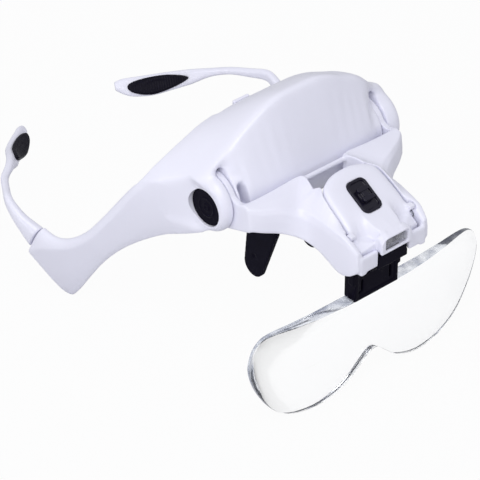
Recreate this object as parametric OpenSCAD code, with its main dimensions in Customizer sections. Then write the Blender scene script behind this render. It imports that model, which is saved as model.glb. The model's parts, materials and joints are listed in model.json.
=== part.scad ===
// Headband magnifier with a lit tilting yoke and a slide-in goggle lens.
// X runs to the wearer's left, +Y to the back of the head, +Z up.
// The pieces are drawn about the yoke hinge axis and then stood on the ground.

/* [Headgear shell] */
// Height of the yoke hinge axis above the surface that the object rests on
rest_h = 80; // [78:0.5:84]
// Half the width across the outer faces of the two hinge bosses
boss_x = 46; // [45.5:0.5:48]
// Wall of the hood and the wings where they are thickest
shell_t = 3.4; // [3:0.1:4]
// Radius of the round hinge bosses
boss_r = 12.8; // [12.6:0.1:13.2]
// Height of the hood's ridge above the hinge axis
hood_z = 35; // [34:0.5:37]

/* [Battery housing] */
// Radius of the housing's rounded front at the middle
barrel_r = 16; // [15.8:0.1:16.2]
// Radius of the housing's rounded front at its ends
barrel_end_r = 12.8; // [12.6:0.1:13.2]
// Wall of the battery housing
house_wall = 1.8; // [1.5:0.1:2]
// Half the length of the battery housing
house_x = 37.4; // [37.2:0.1:37.6]
// Diameter of one battery cell
cell_d = 10.4; // [10:0.1:10.6]
// Length of one battery cell
cell_l = 44.5; // [43:0.5:46]
// Thickness of the rear battery door
door_t = 1.6; // [1.2:0.1:2]

/* [Hinge] */
// Diameter of the two yoke pivot shafts
shaft_d = 5; // [4:0.2:6]
// Thickness of the yoke's round ears
ear_t = 2.6; // [2.2:0.1:2.7]
// Radius of the yoke's round ears
ear_r = 12.2; // [11.4:0.1:12.4]
// Diameter of the black pivot caps
cap_d = 15.8; // [15:0.2:17]
// Thickness of the black pivot caps
cap_t = 1.6; // [1.2:0.1:2]

/* [Yoke and lamp] */
// Wall of the yoke's two hollow arms
yoke_wall = 2; // [1.6:0.1:2.4]
// Radius of the rod that joins the arms behind the lamp
rod_r = 1.1; // [0.9:0.1:1.2]
// Wall of the lamp cover
lamp_wall = 1.6; // [1.2:0.1:1.8]
// Diameter of one lamp diode
led_d = 4; // [3:0.2:4.2]
// Spacing between the two lamp diodes
led_pitch = 5.6; // [4.6:0.2:5.8]
// Length of the black switch frame
switch_l = 14.6; // [13:0.2:15]
// Width of the black switch frame
switch_w = 9.4; // [8.4:0.2:10]
// Travel of the switch slider
switch_travel = 3; // [2:0.5:3.5]

/* [Lens] */
// Half the width of the lens
lens_x = 61; // [56:1:64]
// Thickness of the lens at its middle
lens_t = 6.8; // [6:0.1:7]
// Radius of the lens's bulging front face
lens_front_r = 345; // [320:5:400]
// Width of the tongue that holds the lens in its clip
tongue_w = 11; // [9:0.5:12]
// Half the width of the lens clip
clip_x = 11.3; // [10.8:0.1:12]
// Height of the lens clip
clip_h = 15; // [13.5:0.5:16]

/* [Ear arms and pads] */
// Thickness of the ear arms
arm_t = 4.6; // [4:0.1:5]
// Thickness of the black ear pads
pad_t = 1.5; // [1:0.1:2]
// Length of the peg that plugs an ear arm into its fin
peg_l = 8; // [6:0.5:9]
// Thickness of a nose pad at its middle
nose_t = 2.2; // [2:0.1:2.6]

/* [Hidden] */
white = [0.93, 0.93, 0.97];
black = [0.1, 0.1, 0.14];
steel = [0.72, 0.73, 0.76];
clear = [0.84, 0.88, 0.95, 0.5];
$fn = 64;

gap = 0.3;            // air between moving neighbours
fit = 0.06;           // radial play of a pin in its bore
seat = 0.05;          // play of a piece in its own pocket
front_y = -61;        // foremost point, on the lamp window
back_y = 143.9;       // rearmost point, on the ear arms
mid_y = (front_y + back_y) / 2;

// Smooth curve through the points p at the parameter s
function cr(a, b, c, d, t) =
  0.5 * (2 * b + (c - a) * t + (2 * a - 5 * b + 4 * c - d) * t * t + (3 * b - a - 3 * c + d) * t * t * t);
function curve(p, s) =
  let (n = len(p) - 1, i = min(n - 1, max(0, floor(s))))
  cr(p[max(0, i - 1)], p[i], p[i + 1], p[min(n, i + 2)], s - i);
function unit(v) = v / norm(v);
function flip(p) = [-p[0], p[1], p[2]];
function reversed(l) = [for (i = [len(l) - 1:-1:0]) l[i]];

// Closed solid through rings of points, each ring running out along one side and back along the other
module loft(rings) {
  n = len(rings);
  m = len(rings[0]);
  h = m / 2;
  last = (n - 1) * m;
  polyhedron(
    points = [for (r = rings) each r],
    faces = concat(
      [for (j = [0:h - 2]) each [[m - 1 - j, m - 2 - j, j], [m - 2 - j, j + 1, j]]],
      [for (i = [0:n - 2], j = [0:m - 1])
        let (k = (j + 1) % m, a = i * m + j, b = i * m + k, c = a + m, d = b + m)
        each [[a, b, c], [b, d, c]]],
      [for (j = [0:h - 2])
        let (a = last + j, b = last + m - 1 - j)
        each [[a, a + 1, b], [a + 1, b - 1, b]]]),
    convexity = 10);
}
module turned_loft(rings) loft([for (r = rings) reversed(r)]);
module both() {
  children();
  mirror([1, 0, 0]) children();
}
// Cylinder along X between two positions
module rod_x(r, x0, x1, y = 0, z = 0)
  translate([x0, y, z]) rotate([0, 90, 0]) cylinder(r = r, h = x1 - x0);
// Cylinder along Y between two positions
module rod_y(r, y0, y1, x = 0, z = 0)
  translate([x, y0, z]) rotate([-90, 0, 0]) cylinder(r = r, h = y1 - y0);
module box(lo, hi) translate(lo) cube(hi - lo);

// A band between a top edge t and a bottom edge b that bulges out to the line c between them
function edge_v(j, k) = (1 - cos(180 * j / k)) / 2;
function rim(v) = sqrt(max(0.09, 1 - pow(abs(2 * v - 1), 5)));
function band_at(t, c, b, s, v) =
  let (p = curve(t, s), m = curve(c, s), q = curve(b, s), n = 2 * m - (p + q) / 2)
  p * (1 - v) * (1 - v) + n * 2 * v * (1 - v) + q * v * v;
function band_out(t, c, b, s, v) =
  let (e = 0.03,
    along = band_at(t, c, b, s + e, v) - band_at(t, c, b, s - e, v),
    across = band_at(t, c, b, s, min(1, v + e)) - band_at(t, c, b, s, max(0, v - e)))
  unit(cross(across, along));
function band_ring(t, c, b, th, s, k) =
  let (w = curve(th, s),
    p = [for (j = [0:k]) band_at(t, c, b, s, edge_v(j, k))],
    o = [for (j = [0:k]) band_out(t, c, b, s, edge_v(j, k)) * w / 2])
  concat(
    [for (j = [0:k]) p[j] - o[j] * (1 - rim(edge_v(j, k)))],
    [for (j = [k:-1:0]) p[j] - o[j] * (1 + rim(edge_v(j, k)))]);

// Shell: hood, wings and fins in one moulding
ear_x0 = house_x + gap;
ear_x1 = ear_x0 + ear_t;
boss_in = ear_x1 + gap;
// Back edge of the hood, running on as the top edge of the wing
top_half = [[0, 20.3, hood_z - 13.4], [10, 20.9, hood_z - 13.8], [20.5, 22.4, hood_z - 15], [30, 23.3, hood_z - 17.8],
  [40, 23.5, hood_z - 22.2], [48.5, 23.7, 8.8], [54, 24.2, 5.4], [56.8, 25.6, 2], [57.8, 28, -1.2],
  [58.8, 31.8, -6.5], [60.5, 37.5, -15], [62.2, 43.2, -23.4], [64.3, 51.2, -33.8], [66.2, 59.5, -40.8],
  [67.8, 66.5, -44], [68.9, 72, -44.2], [69.4, 75.6, -43.5]];
// Fold between the roof of the hood and the side of the wing
fold_half = [[0, -2, hood_z - 0.6], [11.5, -2, hood_z - 1.2], [22.2, -2, hood_z - 4.7], [31.6, -1.9, hood_z - 9.4],
  [39.2, -1.6, 18.9], [boss_x + 0.2, -0.2, 11.6], [boss_x + 2.2, 3, 10.2], [51.5, 10, 8.2], [55.2, 20.4, 2.7],
  [58, 26, -3], [60.6, 33.4, -14.6], [62.7, 40, -24.2], [65, 49, -36], [67, 58.6, -44],
  [68.8, 67.5, -48.6], [70, 75, -52], [70.6, 81.6, -56.8]];
// Ridge at the front of the hood, running on as the bottom edge of the wing
low_half = [[0, -4, hood_z], [11.5, -4, hood_z - 0.6], [22, -4, hood_z - 4.2], [31, -3.8, hood_z - 8.8],
  [37.8, -3.5, 20.2], [boss_x - 4.5, -3, 14.1], [boss_x - 1, -5, 3], [boss_x - 0.8, -4, -9], [boss_x + 0.6, 3, -16.2],
  [50, 17.4, -23], [53.3, 29.4, -31.3], [56.8, 37.8, -38.6], [59.4, 46, -48], [60.3, 54.5, -60],
  [59.9, 62, -70.5], [58.6, 69.4, -79.2], [57.6, 73.4, -82.4]];
thick_half = [2.2, 2.2, 2.2, 2.2, 2.3, 2.4, shell_t - 1.3, shell_t - 1.7, shell_t - 1.1, shell_t, shell_t, shell_t,
  shell_t, shell_t, shell_t + 0.6, shell_t + 1.6, shell_t + 2.4];
function whole(h) = concat(reversed([for (i = [1:len(h) - 1]) flip(h[i])]), h);
top_all = whole(top_half);
fold_all = whole(fold_half);
low_all = whole(low_half);
thick_all = concat(reversed([for (i = [1:len(thick_half) - 1]) thick_half[i]]), thick_half);
shell_steps = 3;

module band(t, c, b, th, steps, k) {
  n = (len(t) - 1) * steps;
  turned_loft([for (i = [0:n]) band_ring(t, c, b, th, i / steps, k)]);
}

// The shell is a sheet folded along fold_all, thickened inward along one direction at each station
function ahead(l, i) = l[min(len(l) - 1, i + 1)] - l[max(0, i - 1)];
function inward(i) =
  let (u = unit(ahead(fold_all, i)),
    a = unit(cross(fold_all[i] - top_all[i], u)), b = unit(cross(low_all[i] - fold_all[i], u)))
  -unit(a + b);
last_fold = len(fold_all) - 1;
inward_all = [for (i = [0:last_fold])
  unit(inward(max(0, i - 1)) + 2 * inward(i) + inward(min(last_fold, i + 1)))];
function fold_at(s, v) =
  let (w = 2 * v, m = curve(fold_all, s))
  w < 1 ? curve(top_all, s) * (1 - w) + m * w : m * (2 - w) + curve(low_all, s) * (w - 1);
function fold_ring(s, k) =
  let (w = curve(thick_all, s), d = unit(curve(inward_all, s)) * w / 2)
  concat([for (j = [0:k]) fold_at(s, edge_v(j, k)) + d * (1 - rim(edge_v(j, k)))],
    [for (j = [k:-1:0]) fold_at(s, edge_v(j, k)) + d * (1 + rim(edge_v(j, k)))]);
module folded_shell(steps, k)
  turned_loft([for (i = [0:last_fold * steps]) fold_ring(i / steps, k)]);

// Seam between a fin and its ear arm, and the peg that crosses it
seam_mid = [65.9, 79, -49.8];
seam_tilt = 27;
peg_h = 5.2;
peg_w = 1.8;
module at_seam() translate(seam_mid) rotate([seam_tilt, 0, 0]) children();
module peg(l0, l1, grow = 0)
  at_seam() translate([-peg_w / 2 - grow, -l0, -peg_h / 2 - grow])
    cube([peg_w + 2 * grow, l0 + l1, peg_h + 2 * grow]);

// The cap sits a little below and ahead of the hinge axis, on a face turned slightly to the front
cap_y = -1.3;
cap_z = -1.4;
cap_turn = 3.5;
cap_sink = 1.3;
module at_cap() translate([boss_x - cap_sink, cap_y, cap_z]) rotate([0, 0, -cap_turn]) rotate([0, 90, 0]) children();
hole_r = 1.25;
hole_turn = 77;
notch_x0 = -20.5;
tab_x0 = -12;
tab_x1 = -4;
notch_y = 19.6;
module front_shell() color(white) difference() {
  union() {
    folded_shell(shell_steps, 10);
    both() rotate([90, 0, 90]) rotate_extrude($fn = 72) polygon([[0, boss_in], [boss_r, boss_in],
      [boss_r, boss_x - 3.6], [boss_r - 0.2, boss_x - 2.6], [boss_r - 0.8, boss_x - 1.5],
      [boss_r - 1.7, boss_x - 0.6], [boss_r - 2.8, boss_x], [0, boss_x]]);
  }
  both() {
    rod_x(ear_r + gap, house_x - 0.2, boss_in + seat);
    rod_x(shaft_d / 2 + fit, boss_in - 1, boss_x + 1);
    at_cap() translate([0, 0, -cap_t]) cylinder(d = cap_d + 2 * seat, h = 5);
    rotate([-hole_turn, 0, 0]) translate([ear_x1, -18, 0]) rotate([-90, 0, 0]) cylinder(r = hole_r, h = 6);
    peg(peg_l + gap, 1, 0.2);
    at_seam() translate([-9, -0.1, -7.2]) cube([16, 8, 18]);
  }
  box([notch_x0, notch_y, 5], [tab_x1 + gap, 40, 40]);
  box([-90, 40, -rest_h - 30], [90, 100, -rest_h]);
}

// Battery housing
ridge_y = -2.2;
house_back = 11.5;
under = 2.5;
ridge_drop = 1;
function station(x) = lookup(x, [for (i = [0:5]) [low_half[i][0], i]]);
function ridge_z(x) = curve([for (p = low_half) p[2]], station(x)) - under - ridge_drop;
// Underside of the roof at the housing's back wall
function roof_z(x) =
  let (k = curve(fold_half, station(x)), t = curve(top_half, station(x)))
  k[2] + (t[2] - k[2]) * (house_back - k[1]) / (t[1] - k[1]) - under - gap;
function barrel(x) = barrel_r + (barrel_end_r - barrel_r) * pow(x / house_x, 4);
// Outline of the housing at the distance x from the middle, drawn inward by w
function house_line(x, w, k) =
  let (r = barrel(x) - w, z = ridge_z(x) - w, y = ridge_y + w * 0.6, d = norm([y, z]),
    a0 = atan2(z, -y) - acos(min(1, r / d)),
    a1 = -90 - asin(min(1, (house_back - w) / r)))
  concat([[house_back - w, roof_z(x) - w], [y, z]],
    [for (j = [0:k]) let (a = a0 + (a1 - a0) * j / k) [-r * cos(a), r * sin(a)]]);
function house_ring(x, k) =
  let (o = house_line(abs(x), 0, k), i = house_line(abs(x), house_wall, k))
  concat([for (p = o) [x, p[0], p[1]]], reversed([for (p = i) [x, p[0], p[1]]]));
end_wall = 2;
house_in = house_x - end_wall;
slot_x = 34.7;
slot_w = 3;

// Where the posts of the tray screws start, inside the front wall
function post_y() = -0.2 - sqrt(pow(barrel(tray_screw_x) - house_wall, 2) - pow(tray_screw_z, 2));
module battery_housing() color(white) difference() {
  union() {
    turned_loft([for (i = [-18:18]) house_ring(i / 18 * house_in, 18)]);
    tray_screw(2.4, post_y(), tray_y0 - seat);
    both() translate([house_in, 0, 0]) rotate([90, 0, 90])
      linear_extrude(height = end_wall) polygon(house_line(house_x, 0, 24));
  }
  both() {
    rod_x(shaft_d / 2 + fit, house_in - 1, house_x + 1);
    rod_x(6.4, house_x - 0.8, house_x + 1);
    rod_x(door_pin_r + fit, house_in - 1, house_x + 1, hinge_y, hinge_z);
    rod_x(door_swing, door_x - door_relief, house_in - 0.1, hinge_y, hinge_z);
    intersection() {
      rod_x(barrel_r + 5, slot_x - slot_w / 2, slot_x + slot_w / 2);
      box([slot_x - slot_w, -30, -3], [slot_x + slot_w, -8, 10]);
    }
  }
  tray_screw(1 + seat, tray_y0 - 5.5, tray_y0 + 1);
}

// Cells, tray and contacts
cell_y = 4.6;
cell_pitch = cell_d + 0.6;
cell_z0 = -5.6;
tray_x = cell_l / 2 + 4;
tray_z0 = cell_z0 - cell_d / 2 - 1;
tray_z1 = cell_z0 + 2 * cell_pitch + 3;
tray_y0 = cell_y - cell_d / 2 - 1.6;
tray_ear = 4.6;
tray_screw_x = tray_x + tray_ear / 2;
tray_screw_z = cell_z0 - 1.4;
module tray_screw(r, y0, y1) both() rod_y(r, y0, y1, tray_screw_x, tray_screw_z);
module cell_at(i) {
  translate([0, cell_y, cell_z0 + i * cell_pitch]) rotate([0, 90, 0]) {
    translate([0, 0, -cell_l / 2]) cylinder(d = cell_d, h = cell_l - 1);
    translate([0, 0, cell_l / 2 - 1]) cylinder(d = 4, h = 1);
  }
}
module battery_tray() color(black) difference() {
  union() {
    box([-tray_x, tray_y0, tray_z0], [tray_x, cell_y - 0.6, tray_z1]);
    box([-tray_x - tray_ear, tray_y0, tray_screw_z - 2.4], [tray_x + tray_ear, cell_y - 0.6, tray_screw_z + 2.4]);
  }
  for (i = [0:2])
    rod_x(cell_d / 2 + 0.15, -tray_x + 1.6, tray_x - 1.6, cell_y, cell_z0 + i * cell_pitch);
  tray_screw(1 + seat, tray_y0 - 1, cell_y);
}
module battery_lower() color("silver") cell_at(0);
module battery_middle() color("silver") cell_at(1);
module battery_upper() color("silver") cell_at(2);
plate_t = 0.5;
module contact_springs() color(steel)
  for (i = [0:2])
    rod_x(2.6, -tray_x + 1.6 + plate_t, -cell_l / 2, cell_y, cell_z0 + i * cell_pitch);
module contact_plates() color(steel) {
  z0 = cell_z0 - cell_d / 2 + 1.5;
  z1 = cell_z0 + 2 * cell_pitch + cell_d / 2 - 3;
  box([-tray_x + 1.6, cell_y - 0.6, z0], [-tray_x + 1.6 + plate_t, cell_y + 4, z1]);
  box([cell_l / 2, cell_y - 0.6, z0], [tray_x - 1.6, cell_y + 4, z1]);
}
module tray_screws() color(steel) {
  tray_screw(1, tray_y0 - 5, cell_y - 0.6);
  tray_screw(1.8, cell_y - 0.6 + seat, cell_y + 0.6);
}

// Rear door
door_x = house_in - 0.5;
door_y = house_back - 0.6;
door_pin_r = 1.2;
hinge_y = house_back - 1.6;
hinge_z = -5;
door_arm_x = cell_l / 2 + 4.5;
// Relief at the lower corners of the opening, round the swinging foot of the door
door_swing = norm([door_y + door_t - hinge_y, door_pin_r]) + gap;
door_relief = 3.4;
tab_z = hood_z - 16.4;
function door_top(x) = roof_z(abs(x)) - house_wall - 2.2;
module battery_door() color(white) {
  translate([0, door_y + door_t, 0]) rotate([90, 0, 0]) linear_extrude(height = door_t)
    polygon(concat([[-door_x, hinge_z], [door_x, hinge_z]],
      [for (i = [12:-1:-12]) [i / 12 * door_x, door_top(i / 12 * door_x)]]));
  both() {
    rod_x(door_pin_r, door_arm_x, house_x - 0.6, hinge_y, hinge_z);
    box([door_arm_x, hinge_y, hinge_z - door_pin_r + 0.2], [door_x - 0.2, door_y + door_t - 0.1, hinge_z + door_pin_r - 0.2]);
  }
  box([tab_x0, door_y, tab_z - 2.6], [tab_x1, notch_y + gap, tab_z - 1]);
  box([tab_x0, notch_y + gap, tab_z - 2.6], [tab_x1, notch_y + 2, tab_z + 3.4]);
}

// Hinge hardware
module pivot_shaft() {
  rod_x(shaft_d / 2, house_in - 1.4, boss_x - cap_sink - cap_t - 0.6);
}
module pivot_cap() at_cap() difference() {
  union() {
    translate([0, 0, -cap_t + 0.05]) cylinder(d = cap_d, h = cap_t);
    cylinder(d = 3.4, h = 0.5);
    difference() {
      cylinder(d = 8.6, h = 0.35);
      translate([0, 0, -1]) cylinder(d = 7.2, h = 2);
    }
  }
  translate([0, 0, 0.15]) cylinder(d = 1.4, h = 1);
}
module friction_washer() difference() {
  rod_x(6.2, house_x - 0.8, ear_x0);
  rod_x(shaft_d / 2 + fit, house_x - 1.5, ear_x0 + 1);
}
module pivot_shaft_left() color(steel) pivot_shaft();
module pivot_shaft_right() color(steel) mirror([1, 0, 0]) pivot_shaft();
module pivot_cap_left() color(black) pivot_cap();
module pivot_cap_right() color(black) mirror([1, 0, 0]) pivot_cap();
module friction_washer_left() color(steel) friction_washer();
module friction_washer_right() color(steel) mirror([1, 0, 0]) friction_washer();

// Nose pads
nose_x = 15;
nose_pin_y = 2;
nose_pin_z = -31.5;
nose_pin_r = 1.2;
stem_x = nose_x - 5;
module nose_bracket() color(black) difference() {
  union() {
    box([-stem_x - 1.8, -5, -barrel_r - 3.6], [stem_x + 1.8, 7, -9]);
    both() box([stem_x - 1.8, -0.6, nose_pin_z - 2.4], [stem_x + 1.8, 4.6, -barrel_r - 1]);
  }
  rod_x(barrel_r + 0.02, -nose_x, nose_x);
  both() rod_x(nose_pin_r + fit, stem_x - 3, nose_x, nose_pin_y, nose_pin_z);
}
module nose_pins() color(steel)
  both() rod_x(nose_pin_r, stem_x - 1.6, nose_x + 0.4, nose_pin_y, nose_pin_z);
module nose_pad() difference() {
  hull() {
    rod_x(1.5, nose_x - nose_t / 2, nose_x + nose_t / 2, -8, -24.8);
    rod_x(2.6, nose_x - nose_t / 2, nose_x + nose_t / 2, 5.6, -31.8);
    rod_x(5.5, nose_x - nose_t / 2, nose_x + nose_t / 2, 4, -46.2);
  }
  rod_x(nose_pin_r + fit, nose_x - 3, nose_x + 0.5, nose_pin_y, nose_pin_z);
  rod_x(1, nose_x + nose_t / 2 - 0.3, nose_x + 3, 3.4, -41.5);
}
module nose_pad_left() color(black) nose_pad();
module nose_pad_right() color(black) mirror([1, 0, 0]) nose_pad();

// Yoke
rear_line = [[ear_x1 - 0.2, -16.3, 5.8], [34, -16.8, 5.9], [24, -17.2, 6.4], [11.1, -17.6, 7.2],
  [12, -24, 7.8], [14.2, -31, 5], [15.2, -38, 2.4], [15.7, -46, 0.7], [15.9, -51.6, -1.2],
  [15.8, -58.4, -6]];
crest_line = [[ear_x1 - 0.2, -20.5, 5.2], [36, -23.6, 4.3], [29, -27, 3.4], [24.5, -29, 1.7],
  [21.9, -31.6, 0.6], [20.9, -36.2, 0.5], [20.4, -42, 0.3], [19.9, -48.5, -0.6],
  [19.4, -54, -2], [18.4, -58.2, -5.4]];
outer_line = [[ear_x1 - 0.2, -21.5, -4.9], [35.5, -24.6, -6], [29, -28, -7.6], [24.4, -32, -9.6],
  [22, -35.5, -11.6], [20.8, -40, -13.5], [20.3, -46, -16.5], [19.8, -50.5, -18.6],
  [19.4, -55.5, -17.2], [18.2, -59, -14]];
yoke_steps = 3;
// Section of one arm: up the wall beside the lamp, over the top, and back down the outer wall
function arm_side(s) =
  let (r = curve(rear_line, s), o = curve(outer_line, s))
  unit([o[0] - r[0], o[1] - r[1], 0]);
function arm_ring(s) =
  let (r = curve(rear_line, s), k = curve(crest_line, s), o = curve(outer_line, s), j = [r[0], r[1], o[2] + 1])
  [j, r - [0, 0, 0.7], r + arm_side(s) * 0.6, r * 0.5 + k * 0.5 + [0, 0, 0.4], k * 0.9 + r * 0.1 + [0, 0, 0.1],
    k * 0.85 + o * 0.15, k * 0.5 + o * 0.5 + arm_side(s) * 0.2, o + [0, 0, 0.8], o - arm_side(s) * 0.7,
    j * 0.6 + o * 0.4];
function arm_hollow(s) =
  let (r = curve(rear_line, s), k = curve(crest_line, s), o = curve(outer_line, s), j = [r[0], r[1], o[2] + 1],
    f = arm_side(s) * yoke_wall, d = [0, 0, yoke_wall])
  [j + f - 2 * d, r + f * 1.1 - d * 2.2, r * 0.5 + k * 0.5 - d * 1.5, k - f * 1.1 - d * 1.5,
    k * 0.6 + o * 0.4 - f * 1.1, o - f - 2 * d];
hollow_from = 0.9;
hollow_to = 6.4;
lamp_piv_y = -51.6;
lamp_piv_z = -5.6;
lamp_piv_r = 1.4;
front_z0 = -16;
front_z1 = -14.2;
boss_xy = [20.6, -25.6];
screw_d = 3;
lug_y = -51.6;
lug_z = -1;
module yoke() color(white) difference() {
  union() {
    both() {
      loft([for (i = [0:yoke_steps * (len(rear_line) - 1)]) arm_ring(i / yoke_steps)]);
      rod_x(ear_r, ear_x0, ear_x1);
      translate([ear_x0, 0, 0]) rotate([90, 0, 90]) linear_extrude(height = ear_t)
        polygon([[-5, -11], [-20.9, -5.4], [-20.4, 4.4], [-16.4, 5.4], [-14.1, 4.8], [-12.3, 5], [-10.6, 5.8], [-8.8, 6.9]]);
      box([8.2, -59.3, front_z0 + 1], [16.6, -57.3, -7.8]);
      box([0, -53.6, front_z0], [17.6, -49.5, front_z1]);
      box([14, -59.3, front_z0], [16.9, -49.5, front_z1]);
      translate([boss_xy[0], boss_xy[1], -5]) cylinder(d = screw_d + 2.4, h = 6.6);
    }
    rod_x(rod_r, -12.4, 12.4, -18.9, 5.2);
  }
  both() {
    loft([for (i = [0:14]) arm_hollow(hollow_from + (hollow_to - hollow_from) * i / 14)]);
    rod_x(shaft_d / 2 + fit, ear_x0 - 1, ear_x1 + 1);
    rod_x(lamp_piv_r + fit, 13, 18, lamp_piv_y, lamp_piv_z);
    translate([boss_xy[0], boss_xy[1], -12]) cylinder(d = screw_d + 2 * seat, h = 12);
    box([13, lug_y - 2, lug_z - 2.4], [17.2, lug_y + 2, 4]);
    translate([6.4, -51.6, front_z0 - 1]) cylinder(d = 2 + 2 * seat, h = 4);
  }
}
cover_t = 1.4;
function cover_ring(s) =
  let (r = curve(rear_line, s), o = curve(outer_line, s), f = unit([o[0] - r[0], o[1] - r[1], 0]),
    a = [r[0], r[1], o[2] + 1.3] + f * (yoke_wall + 0.5), b = o - f * (yoke_wall + 1) + [0, 0, 0.3])
  [a, b, b + [0, 0, cover_t], a + [0, 0, cover_t]];
module yoke_cover() difference() {
  turned_loft([for (i = [3:19]) cover_ring(i / 3)]);
  translate([boss_xy[0], boss_xy[1], -14]) cylinder(d = screw_d + 2 * seat, h = 12);
}
module yoke_cover_left() color(white) yoke_cover();
module yoke_cover_right() color(white) mirror([1, 0, 0]) yoke_cover();
module yoke_screws() color(steel) both() translate([boss_xy[0], boss_xy[1], -8.6]) cylinder(d = screw_d, h = 8);

// Lamp
// Rows along the cover: y, half width, top at 0, 40, 55, 70, 90 and 100% of it, bottom edge
lamp_rows = [
  [-29.4, 7, 11, 10.9, 10.7, 10.4, 9.9, 9.2, 5], [-31, 11.4, 11.1, 10.9, 10.7, 10.4, 9.8, 8.6, 0],
  [-33.8, 14, 9.8, 9.8, 9.7, 9.6, 9.1, 7.6, -4], [-38, 14.8, 7.2, 7.2, 7.2, 7.1, 6.7, 5.2, -8],
  [-43, 15.1, 4.3, 4.4, 4.4, 4.4, 4, 2.6, -10.6], [-47.5, 15.2, 1.9, 2, 1.6, 1.3, 1.3, 0, -11.8],
  [-50.5, 15.3, 0.8, 0.8, -1.2, -2, -1.2, -2.4, -12], [-53, 15.1, 0, -0.2, -4.6, -6.2, -3.8, -5, -12.2],
  [-55, 14.2, -0.6, -0.8, -7, -8.8, -7.2, -8.4, -12.2], [-56.4, 13, -1.1, -1.3, -9, -10.2, -9.8, -10.4, -12.2],
  [-56.7, 12.6, -1.2, -1.4, -9.4, -10.4, -10.2, -10.7, -12.2],
  [-57.1, 7.8, -1.3, -1.4, -1.6, -1.9, -2.4, -3.6, -9.4], [-59.8, 7.8, -1.9, -2, -2.2, -2.5, -3, -4.2, -9.4]];
lamp_at = [0, 0.4, 0.55, 0.7, 0.9, 1];
function lamp_side(r, w) = [for (i = [5:-1:0]) [(r[1] - w) * lamp_at[i], r[0], r[2 + i] - w]];
function lamp_half(r, w) = concat([[r[1] - w, r[0], r[8]]], lamp_side(r, w));
function lamp_ring(s) =
  let (r = curve(lamp_rows, s), o = lamp_half(r, 0), i = lamp_half(r, lamp_wall))
  concat(o, [for (j = [5:-1:0]) flip(o[j])], [for (j = [0:5]) flip(i[j])], reversed(i));
nose_front = -61;
window_x = 5.8;
window_z0 = -8.4;
window_z1 = -3;
nose_z0 = -9.5;
switch_turn = 29.7;
module at_switch() translate([0, -41.8, 5]) rotate([switch_turn, 0, 0]) children();
// Flat oblong w wide, l long, with corners of radius r
module oblong(w, l, r) {
  square([w - 2 * r, l], center = true);
  square([w, l - 2 * r], center = true);
  for (x = [-1, 1], y = [-1, 1]) translate([x * (w / 2 - r), y * (l / 2 - r)]) circle(r = r);
}
switch_corner = 2.6;
module lamp_cover() color(white) difference() {
  union() {
    turned_loft([for (i = [0:2 * (len(lamp_rows) - 1)]) lamp_ring(i / 2)]);
    box([-6.9, -30.8, 5.2], [6.9, -29.5, 9.4]);
    difference() {
      translate([0, -59.7, 0]) rotate([90, 0, 0]) linear_extrude(height = -59.7 - nose_front)
        polygon([[-7.9, nose_z0], [7.9, nose_z0], [7.9, -4.6], [6.9, -2.9], [4.6, -2], [-4.6, -2], [-6.9, -2.9],
          [-7.9, -4.6]]);
      box([-window_x, nose_front - 1, window_z0], [window_x, -59, window_z1]);
    }
    both() box([14, lug_y - 1.4, lug_z - 1.8], [16.8, lug_y + 1.4, lug_z]);
  }
  both() rod_x(lamp_piv_r + fit, 12, 16, lamp_piv_y, lamp_piv_z);
  at_switch() translate([0, 0, -4]) linear_extrude(height = 8)
    oblong(switch_w + 2 * seat, switch_l + 2 * seat, switch_corner);
}
base_x = 12;
module lamp_base() color(white) difference() {
  translate([-base_x, 0, 0]) rotate([90, 0, 90]) linear_extrude(height = 2 * base_x)
    polygon([[-33.4, -3], [-38, -7.4], [-43, -10.2], [-48, -11.6], [-55.2, -12], [-55.2, -10.6],
      [-48, -10.2], [-43, -8.8], [-38, -6], [-33.4, -1.6]]);
  both() translate([8, -46, -14]) cylinder(d = 2 + 2 * seat, h = 6);
}
module lamp_pins() color(steel) both() rod_x(lamp_piv_r, 13.8, 17.6, lamp_piv_y, lamp_piv_z);
module lamp_screws() color(steel) both() translate([8, -46, -12.6]) cylinder(d = 2, h = 5);
board_x = 4.4;
led_z = -5.9;
module led_board() color("green") box([-board_x, -57.9, -8], [board_x, -57.1, -4.1]);
module led(side) rod_y(led_d / 2, -59.9, -57.9, side * led_pitch / 2, led_z);
module led_left() color(white) led(1);
module led_right() color(white) led(-1);
module led_window() color(clear)
  box([-window_x + seat, nose_front + 0.1, window_z0 + seat], [window_x - seat, nose_front + 0.9, window_z1 - seat]);
stem_w = 2;
module switch_frame() color(black) at_switch() difference() {
  translate([0, 0, -2]) linear_extrude(height = 2.6) oblong(switch_w, switch_l, switch_corner);
  translate([0, 0, -0.2]) linear_extrude(height = 2) oblong(switch_w - 2.2, switch_l - 2.4, switch_corner - 1);
  translate([-stem_w / 2 - 0.2, -switch_travel / 2 - stem_w / 2 - 0.2, -3])
    cube([stem_w + 0.4, switch_travel + stem_w + 0.4, 6]);
}
grip_w = 5.4;
grip_l = 6;
module switch_body() color(black) at_switch() translate([-4, -6, -6.2]) cube([8, 12, 4.1]);
module switch_slider() color(black) at_switch() {
  translate([0, 0, -0.1]) linear_extrude(height = 1) oblong(grip_w, grip_l, 1);
  translate([-stem_w / 2, -stem_w / 2, -1.9]) cube([stem_w, stem_w, 2.4]);
  for (y = [-1, 1]) translate([0, y * (grip_l / 2 - 0.9), 0.5]) linear_extrude(height = 1.7) oblong(grip_w, 1.8, 0.6);
  translate([0, 0, 0.5]) linear_extrude(height = 1.2) square([grip_w / 2.2, grip_l - 1.5], center = true);
}

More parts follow.
